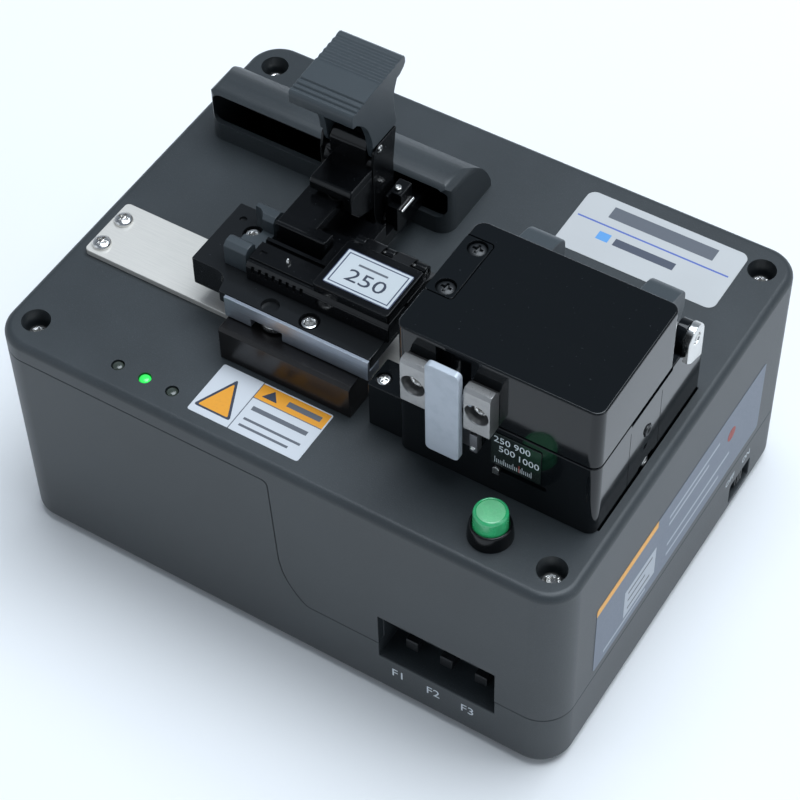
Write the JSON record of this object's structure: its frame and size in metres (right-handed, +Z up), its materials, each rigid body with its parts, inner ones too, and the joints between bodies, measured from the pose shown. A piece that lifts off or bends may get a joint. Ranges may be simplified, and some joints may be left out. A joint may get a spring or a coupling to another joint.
{
  "type": "optical fibre coating stripper",
  "caption": "Bench machine with a motor-driven sliding fibre holder, sprung thumb-lever clamp, hinged heated stripping head, start button, setting keys and power slider.",
  "frame": {"origin": "middle of the footprint, on the desk under the feet", "axes": "+Z up, -Y towards the user (the face with the setting keys), +X towards the side with the power slider"},
  "size_m": [0.1806, 0.1388, 0.1437],
  "materials": {
    "case_plastic": "fine-grained dark moulded plastic",
    "black_plastic": "matt black plastic",
    "gloss_black": "polished black",
    "arm_grey": "dark anodised metal",
    "plate_steel": "satin steel",
    "rail_steel": "ground blue-grey steel",
    "nickel": "nickel plated",
    "lever_light": "bead-blasted aluminium",
    "carriage_dark": "dark anodised metal",
    "button_green": "clear green, lit",
    "lens": "tinted light pipe",
    "board": "lacquered circuit board",
    "rubber": "soft black rubber",
    "motor": "painted can"
  },
  "bodies": {
    "case": {"upper_cover": "case_plastic", "lower_base": "case_plastic", "case_screw_1": "nickel", "case_screw_2": "nickel", "case_screw_3": "nickel", "case_screw_4": "nickel", "foot_1": "rubber", "foot_2": "rubber", "foot_3": "rubber", "foot_4": "rubber", "light_pipe_1": "lens", "light_pipe_2": "lens", "light_pipe_3": "lens", "button_bezel": "black_plastic", "dc_jack": "black_plastic", "circuit_board": "board", "steel_plate": "plate_steel", "plate_screw_1": "nickel", "plate_screw_2": "nickel", "guide_block": "black_plastic", "guide_shaft": "nickel", "drive_motor": "motor", "head_base": "gloss_black", "heater_block": "rail_steel", "lower_blade": "nickel", "latch_catch": "arm_grey", "head_hinge_pin": "nickel"},
    "carriage": {"carriage_plate": "carriage_dark", "carriage_rail": "rail_steel", "carriage_screw_1": "nickel", "carriage_screw_2": "nickel", "guide_roller": "nickel", "drive_bracket": "black_plastic", "cord_guide": "arm_grey", "holder_body": "black_plastic", "holder_hinge_pin": "nickel", "pivot_pin": "nickel"},
    "screw": {"lead_screw": "plate_steel"},
    "arm": {"clamp_arm": "arm_grey", "lever_pin": "nickel", "presser_spring": "nickel"},
    "lever": {"thumb_lever": "arm_grey"},
    "presser": {"presser_plate": "black_plastic"},
    "holder_cover": {"holder_lid": "arm_grey"},
    "head_cover": {"head_lid": "gloss_black", "entry_plate": "gloss_black", "entry_screw_1": "black_plastic", "entry_screw_2": "black_plastic", "upper_blade": "nickel", "latch_block_left": "nickel", "latch_block_right": "nickel", "latch_screw_left": "nickel", "latch_screw_right": "nickel"},
    "latch": {"latch_lever": "lever_light"},
    "start_button": {"button_cap": "button_green"},
    "setting_key_1": {"key_f1": "black_plastic"},
    "setting_key_2": {"key_f2": "black_plastic"},
    "setting_key_3": {"key_f3": "black_plastic"},
    "slider": {"power_slider": "black_plastic"},
    "pointer": {"gap_pointer": "nickel"}
  },
  "joints": [
    {"name": "carriage_slide", "type": "slide", "parent": "case", "child": "carriage", "axis": [-1, 0, 0], "range_m": [0, 0.038]},
    {"name": "screw_turn", "type": "hinge", "parent": "case", "child": "screw", "pos_m": [-0.04, 0.037, 0.066], "axis": [1, 0, 0], "continuous": true},
    {"name": "arm_swing", "type": "hinge", "parent": "carriage", "child": "arm", "pos_m": [-0.022, 0.0142, 0.0926], "axis": [-1, 0, 0], "range_deg": [0, 30]},
    {"name": "lever_rock", "type": "hinge", "parent": "arm", "child": "lever", "pos_m": [-0.022, 0.0123, 0.12], "axis": [1, 0, 0], "range_deg": [0, 12], "stiffness_Nm_per_rad": 0.25},
    {"name": "presser_slide", "type": "slide", "parent": "arm", "child": "presser", "axis": [0, 0, 1], "range_m": [0, 0.001], "stiffness_N_per_m": 600, "deforming": ["presser_spring"]},
    {"name": "holder_lid_hinge", "type": "hinge", "parent": "carriage", "child": "holder_cover", "pos_m": [0.003, -0.0086, 0.106], "axis": [-1, 0, 0], "range_deg": [0, 95]},
    {"name": "head_lid_hinge", "type": "hinge", "parent": "case", "child": "head_cover", "pos_m": [0.056, 0.006, 0.1075], "axis": [-1, 0, 0], "range_deg": [0, 70]},
    {"name": "latch_pivot", "type": "hinge", "parent": "head_cover", "child": "latch", "pos_m": [0.0442, -0.0482, 0.1152], "axis": [-1, 0, 0], "range_deg": [0, 25]},
    {"name": "start_press", "type": "slide", "parent": "case", "child": "start_button", "axis": [0, 0, -1], "range_m": [0, 0.0015], "stiffness_N_per_m": 500},
    {"name": "key_1_press", "type": "slide", "parent": "case", "child": "setting_key_1", "axis": [0, 1, 0], "range_m": [0, 0.0008], "stiffness_N_per_m": 700},
    {"name": "key_2_press", "type": "slide", "parent": "case", "child": "setting_key_2", "axis": [0, 1, 0], "range_m": [0, 0.0008], "stiffness_N_per_m": 700},
    {"name": "key_3_press", "type": "slide", "parent": "case", "child": "setting_key_3", "axis": [0, 1, 0], "range_m": [0, 0.0008], "stiffness_N_per_m": 700},
    {"name": "power_slide", "type": "slide", "parent": "case", "child": "slider", "axis": [0, -1, 0], "range_m": [0, 0.005]},
    {"name": "pointer_slide", "type": "slide", "parent": "case", "child": "pointer", "axis": [1, 0, 0], "range_m": [0, 0.013]}
  ],
  "couplings": [
    {"joint": "screw_turn", "follows": "carriage_slide", "rad_per_m": 1570.8}
  ]
}
